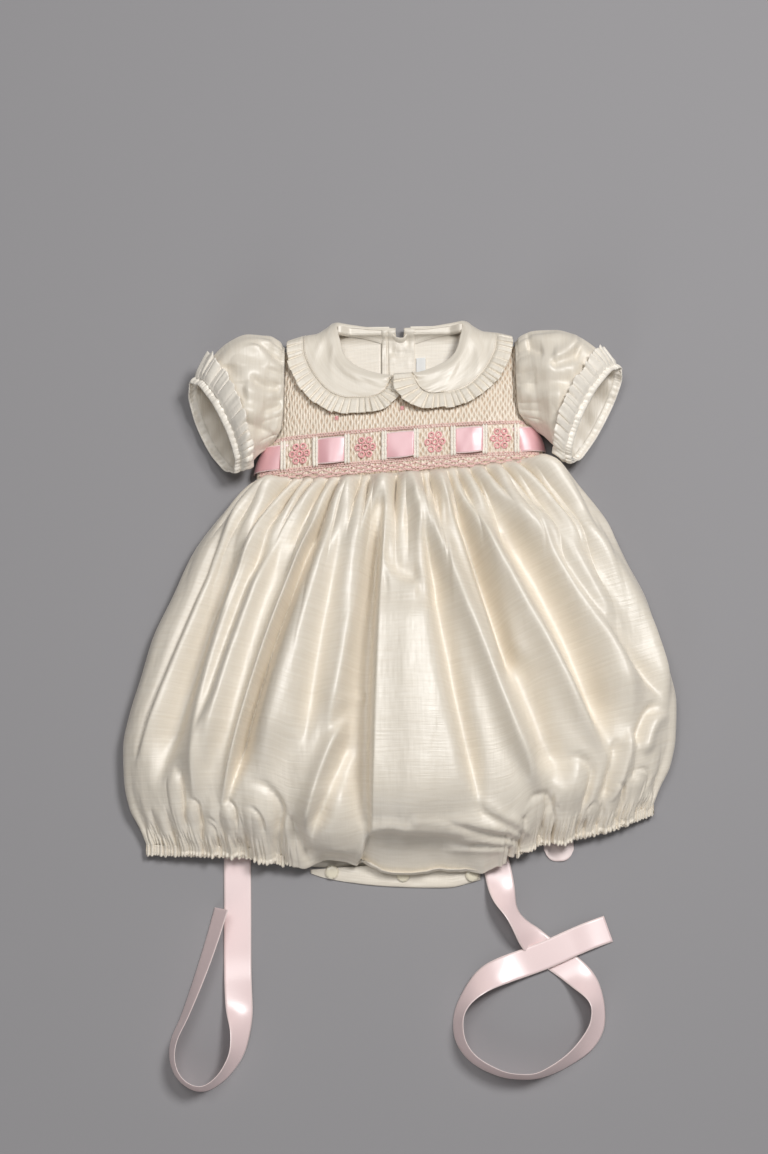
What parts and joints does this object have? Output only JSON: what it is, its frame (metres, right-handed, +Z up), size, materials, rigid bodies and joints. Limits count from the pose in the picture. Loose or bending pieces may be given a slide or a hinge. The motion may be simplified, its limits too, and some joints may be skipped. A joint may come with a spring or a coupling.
{
  "type": "baby romper",
  "caption": "Silk bubble romper laid flat: smocked bodice with threaded ribbon, frilled collar, puff sleeves, elastic leg openings and a snap crotch.",
  "frame": {"origin": "on the surface that the romper lies on, under the middle of its bounding box", "axes": "+Z up off the surface, +Y from the legs to the neck, +X to the right as seen from above with the neck at the top, which is the wearer's left"},
  "size_m": [0.418, 0.5782, 0.0609],
  "materials": {
    "ivory_silk": "slubbed silk taffeta with a soft sheen",
    "pink_satin": "satin ribbon",
    "pearl": "pearl",
    "label_tape": "matt woven tape"
  },
  "bodies": {
    "root": {"back_placket": "ivory_silk", "bodice_back_left": "ivory_silk", "bodice_back_right": "ivory_silk", "collar_frill_left": "ivory_silk", "collar_frill_right": "ivory_silk", "collar_left": "ivory_silk", "collar_right": "ivory_silk", "crotch_flap": "ivory_silk", "cuff_band_left": "ivory_silk", "cuff_band_right": "ivory_silk", "cuff_frill_left": "ivory_silk", "cuff_frill_right": "ivory_silk", "front_panel": "ivory_silk", "leg_casing_left": "ivory_silk", "leg_casing_right": "ivory_silk", "neck_facing_left": "ivory_silk", "neck_facing_right": "ivory_silk", "ribbon_end_left": "pink_satin", "ribbon_end_right": "pink_satin", "ribbon_fold": "pink_satin", "ribbon_tail_left": "pink_satin", "ribbon_tail_right": "pink_satin", "ribbon_window_1": "pink_satin", "ribbon_window_2": "pink_satin", "ribbon_window_3": "pink_satin", "size_label": "label_tape", "skirt_back": "ivory_silk", "sleeve_left": "ivory_silk", "sleeve_right": "ivory_silk", "snap_1": "pearl", "snap_2": "pearl", "snap_3": "pearl"}
  },
  "joints": []
}
